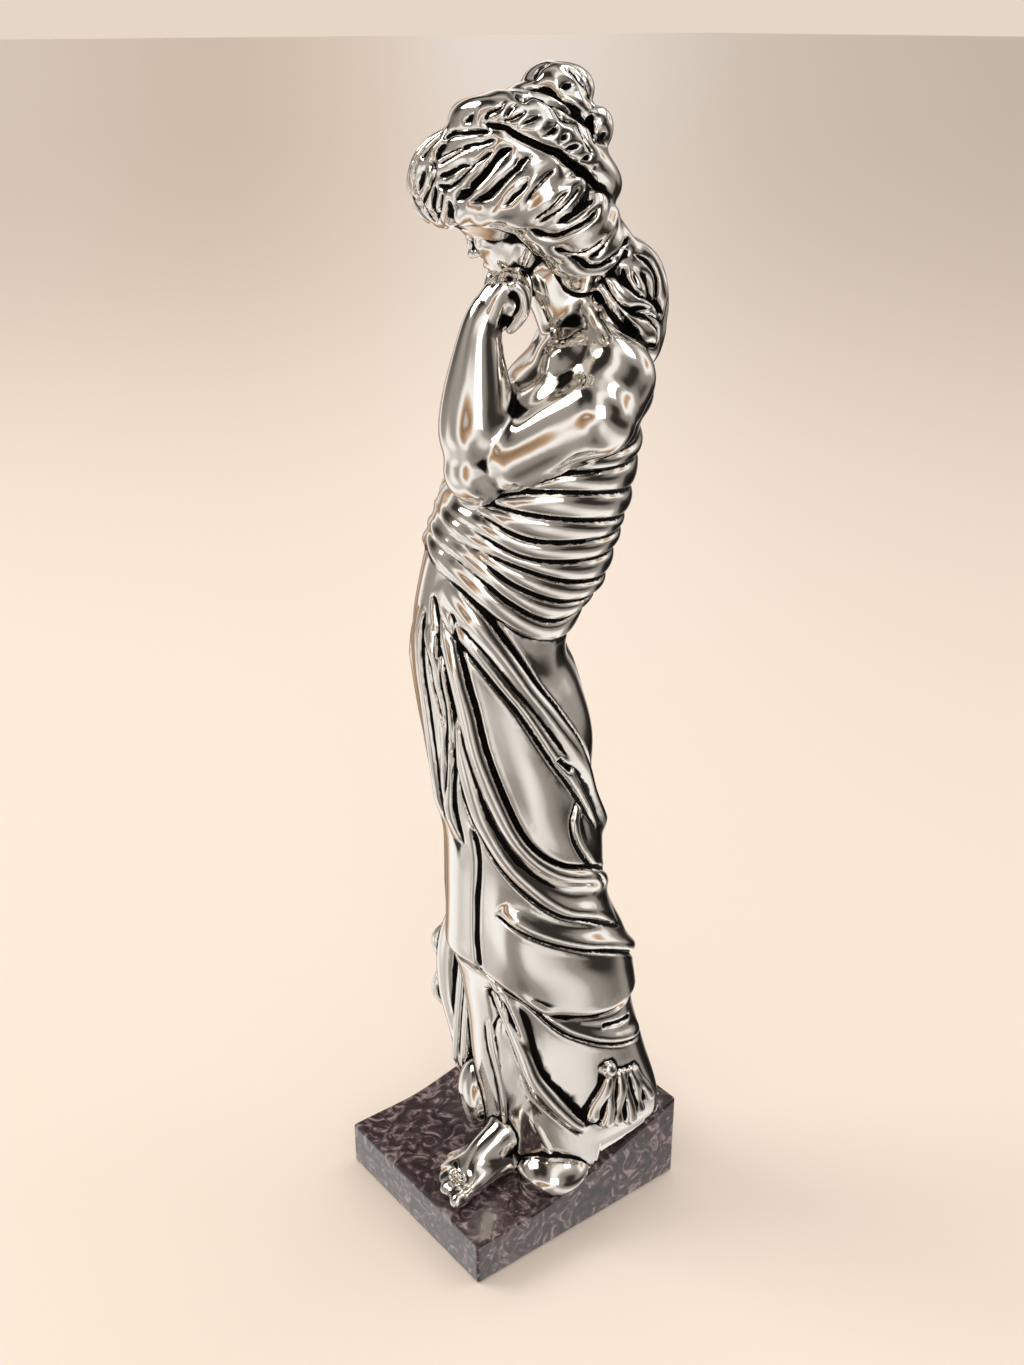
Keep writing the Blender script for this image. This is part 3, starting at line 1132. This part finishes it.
def build_figure():
    """The silver casting: body, drapery, arms, head and hair as one."""
    mesh, hairy = modelled_figure()
    grooves = lay_grooves(mesh, [*HAIR_GROOVES, *mirrored(HAIR_GROOVES, HEAD_MIDDLE),
                                 *TAIL_GROOVES, *mirrored(TAIL_GROOVES, TAIL_MIDDLE)], hairy)
    engrave(mesh, grooves, pillow=1.0)
    engrave(mesh, lay_grooves(mesh, on_head(FACE_LINES)), pillow=0)
    soften(mesh, passes=1, share=np.ones(len(mesh.vertices)))
    seat(mesh, GAP * 1.5)
    holder = bpy.data.objects.new("silver_figure", mesh)
    bpy.context.scene.collection.objects.link(holder)
    thin = holder.modifiers.new("Facets", "DECIMATE")
    thin.ratio = FIGURE_TRIANGLES / (2 * len(mesh.polygons))
    carved = evaluated_mesh(holder)
    holder.modifiers.clear()
    holder.data = carved
    carved.name = "silver_figure"
    seat(carved, GAP)
    low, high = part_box("figure")
    write_points(carved, np.clip(read_points(carved), low, high))
    note(carved, "hollow", hollows(carved, passes=10))
    note(carved, "ink", ink(carved, grooves))
    carved.polygons.foreach_set("use_smooth", [True] * len(carved.polygons))
    carved.materials.append(silver_laminate())
    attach(holder, "root")
    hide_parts("figure")


def linear(code):
    """An sRGB hex colour as linear red, green, blue and alpha."""
    parts = [int(code[i:i + 2], 16) / 255 for i in (1, 3, 5)]
    return (*(c / 12.92 if c <= 0.04045 else ((c + 0.055) / 1.055) ** 2.4 for c in parts), 1.0)


# Finishes: colours as the eye sees them
BRIGHT_SILVER = "#e4e0da"
BLACKENED_SILVER = "#161413"
RESIN_SWIRLS = ((0.35, "#2a2226"), (0.5, "#41363a"), (0.58, "#665a5f"), (0.66, "#94898e"))
PALE_FLOOR = "#f2ede8"
PALE_BACKDROP = "#eeddcc"
MIRRORED_ROOM = (
    (0.30, "#141211"), (0.38, "#3a3532"), (0.44, "#8a847e"), (0.51, "#a39d97"), (0.56, "#f4f0ec"),
    (0.60, "#ffffff"), (0.64, "#c9a98a"), (0.68, "#8a6f57"), (0.72, "#ffffff"),
)

# Real sizes in millimetres of the resin's swirls and of the patches where the silver is blackened
# more or less
SWIRL = 25 / 6
PATCH = 50 / 9

# The silver starts to blacken this far below the eased surface and is black at the second depth, in
# millimetres, give or take the unevenness; a cut groove is black from this share of its middle
BLACKENS_AT = (0.035, 0.12)
UNEVENNESS = 0.06
GROOVE_BLACK_AT = (0.22, 0.5)

# Polish in the open and in the blackened grooves
BRIGHT_ROUGHNESS = 0.09
BLACKENED_ROUGHNESS = 0.5


def noise_scale(size):
    """Noise cells per metre for patches of a size in millimetres, two to a cell."""
    return 500 / size


def add(tree, kind, settings=(), values=(), links=(), stops=()):
    """Adds a node, sets it up, and joins each named input to a socket of another node.

    The stops of a colour ramp are its places and hex colours.
    """
    node = tree.nodes.new(kind)
    for name, value in dict(settings).items():
        setattr(node, name, value)
    for name, value in dict(values).items():
        node.inputs[name].default_value = value
    for name, socket in dict(links).items():
        tree.links.new(socket, node.inputs[name])
    for i, (place, code) in enumerate(stops):
        elements = node.color_ramp.elements
        element = elements[i] if i < len(elements) else elements.new(place)
        element.position = place
        element.color = linear(code)
    return node


def new_finish(name):
    """A new material, with its tree and its surface shader."""
    material = bpy.data.materials.new(name)
    material.use_nodes = True
    tree = material.node_tree
    return material, tree, tree.nodes["Principled BSDF"]


def silver_laminate():
    """Polished silver laminate, blackened in the grooves and rubbed bright on the ridges.

    It mirrors the room in sharp bright streaks, and the blackening draws each fold and lock.
    """
    material, tree, shader = new_finish("polished_silver_laminate")
    place = add(tree, "ShaderNodeTexCoord")
    hollow = add(tree, "ShaderNodeAttribute", {"attribute_name": "hollow"})
    groove = add(tree, "ShaderNodeAttribute", {"attribute_name": "ink"})
    worn = add(tree, "ShaderNodeTexNoise", values={"Scale": noise_scale(PATCH), "Detail": 3.0},
               links={"Vector": place.outputs["Object"]})
    depth = add(tree, "ShaderNodeMath", {"operation": "MULTIPLY_ADD"},
                {1: UNEVENNESS, 2: -UNEVENNESS / 2}, {0: worn.outputs["Fac"]})
    uneven = add(tree, "ShaderNodeMath", {"operation": "ADD"},
                 links={0: hollow.outputs["Fac"], 1: depth.outputs[0]})
    sunk = add(tree, "ShaderNodeMapRange", {"interpolation_type": "SMOOTHSTEP"},
               {"From Min": BLACKENS_AT[0], "From Max": BLACKENS_AT[1]}, {"Value": uneven.outputs[0]})
    inked = add(tree, "ShaderNodeMapRange", {"interpolation_type": "SMOOTHSTEP"},
                {"From Min": GROOVE_BLACK_AT[0], "From Max": GROOVE_BLACK_AT[1]},
                {"Value": groove.outputs["Fac"]})
    black = add(tree, "ShaderNodeMath", {"operation": "MAXIMUM"},
                links={0: sunk.outputs["Result"], 1: inked.outputs["Result"]})
    colour = add(tree, "ShaderNodeMix", {"data_type": "RGBA"},
                 {6: linear(BRIGHT_SILVER), 7: linear(BLACKENED_SILVER)}, {0: black.outputs[0]})
    rough = add(tree, "ShaderNodeMapRange",
                values={"To Min": BRIGHT_ROUGHNESS, "To Max": BLACKENED_ROUGHNESS},
                links={"Value": black.outputs[0]})
    tree.links.new(colour.outputs[2], shader.inputs["Base Color"])
    tree.links.new(rough.outputs["Result"], shader.inputs["Roughness"])
    shader.inputs["Metallic"].default_value = 1.0
    return material


def marbled_resin():
    """Cast resin with swirls of pearl 4 to 5 mm across in a dark brown ground, polished.

    It looks like a cloudy dark stone under a soft clear gloss.
    """
    material, tree, shader = new_finish("marbled_resin_cast")
    place = add(tree, "ShaderNodeTexCoord")
    swirl = add(tree, "ShaderNodeTexNoise",
                values={"Scale": noise_scale(SWIRL), "Detail": 3.0, "Distortion": 2.6},
                links={"Vector": place.outputs["Object"]})
    colour = add(tree, "ShaderNodeValToRGB", links={"Fac": swirl.outputs["Fac"]}, stops=RESIN_SWIRLS)
    tree.links.new(colour.outputs["Color"], shader.inputs["Base Color"])
    shader.inputs["Roughness"].default_value = 0.2
    shader.inputs["IOR"].default_value = 1.54
    shader.inputs["Coat Weight"].default_value = 0.4
    shader.inputs["Coat Roughness"].default_value = 0.06
    return material


def dress_plinth():
    """The plinth keeps its own solid and takes the resin's finish."""
    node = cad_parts["plinth"]
    resin = marbled_resin()
    for slot in node.material_slots:
        slot.material = resin


def build_floor():
    """A plain pale floor under the plinth, painted smooth, with a faint sheen."""
    mesh = bpy.data.meshes.new("pale_floor")
    side = 30.0
    corners = [(-side, -side, 0), (side, -side, 0), (side, side, 0), (-side, side, 0)]
    mesh.from_pydata(corners, [], [(0, 1, 2, 3)])
    material, _, shader = new_finish("pale_floor")
    shader.inputs["Base Color"].default_value = linear(PALE_FLOOR)
    shader.inputs["Roughness"].default_value = 0.35
    mesh.materials.append(material)
    floor = bpy.data.objects.new("pale_floor", mesh)
    floor.visible_glossy = False
    bpy.context.scene.collection.objects.link(floor)


def build_surroundings():
    """A pale studio, darker and warmer in places so that the mirror finish has something to show."""
    world = bpy.data.worlds.new("studio")
    world.use_nodes = True
    tree = world.node_tree
    backdrop = tree.nodes["Background"]
    backdrop.inputs["Color"].default_value = linear(PALE_BACKDROP)
    backdrop.inputs["Strength"].default_value = 0.93
    place = add(tree, "ShaderNodeTexCoord")
    cloud = add(tree, "ShaderNodeTexNoise", values={"Scale": 0.8, "Detail": 0.6, "Distortion": 0.4},
                links={"Vector": place.outputs["Generated"]})
    tone = add(tree, "ShaderNodeValToRGB", links={"Fac": cloud.outputs["Fac"]}, stops=MIRRORED_ROOM)
    room = add(tree, "ShaderNodeBackground", values={"Strength": 1.2}, links={"Color": tone.outputs["Color"]})
    ray = add(tree, "ShaderNodeLightPath")
    blend = add(tree, "ShaderNodeMixShader",
                links={0: ray.outputs["Is Glossy Ray"], 1: backdrop.outputs[0], 2: room.outputs[0]})
    tree.links.new(blend.outputs[0], tree.nodes["World Output"].inputs["Surface"])
    bpy.context.scene.world = world


def soft_light(name, place, aim, size, watts, code):
    """A wide soft lamp aimed at a point; its place, aim and size are in metres."""
    lamp = bpy.data.lights.new(name, "AREA")
    lamp.shape = "RECTANGLE"
    lamp.size, lamp.size_y = size
    lamp.energy = watts
    lamp.color = linear(code)[:3]
    holder = bpy.data.objects.new(name, lamp)
    holder.location = place
    holder.rotation_euler = (Vector(aim) - Vector(place)).to_track_quat("-Z", "Y").to_euler()
    bpy.context.scene.collection.objects.link(holder)


def light_studio():
    """The surroundings and three soft lamps."""
    build_surroundings()
    soft_light("key_light", (-1.1, -0.9, 1.5), (0, 0, 0.2), (0.9, 0.9), 13, "#fff6ea")
    soft_light("fill_light", (1.4, -0.9, 1.0), (0, 0, 0.2), (0.8, 1.2), 5, "#fff9f2")
    soft_light("top_light", (0.2, 0.9, 1.7), (0, 0, 0.25), (1.2, 0.5), 5, "#ffffff")


# The camera as solved from the plinth's corners: its place in metres, its turn from +Y, how far it
# looks down, and its lens in millimetres
CAMERA_AT = (0.381, -0.297, 0.432)
CAMERA_TURN = math.radians(52.1)
CAMERA_DOWN = math.radians(24.0)
LENS = 39.56
SENSOR_WIDTH = 36.0


def place_camera():
    """The photograph's viewing angle: from the figure's left, a little above its head."""
    lens = bpy.data.cameras.new("camera")
    lens.lens = LENS
    lens.sensor_width = SENSOR_WIDTH
    lens.clip_start = 0.01
    holder = bpy.data.objects.new("camera", lens)
    holder.location = CAMERA_AT
    level = math.cos(CAMERA_DOWN)
    gaze = Vector((-math.sin(CAMERA_TURN) * level, math.cos(CAMERA_TURN) * level, -math.sin(CAMERA_DOWN)))
    holder.rotation_euler = gaze.to_track_quat("-Z", "Y").to_euler()
    bpy.context.scene.collection.objects.link(holder)
    bpy.context.scene.camera = holder


build_figure()
dress_plinth()
build_floor()
light_studio()
place_camera()
bpy.context.scene.view_settings.view_transform = "Standard"
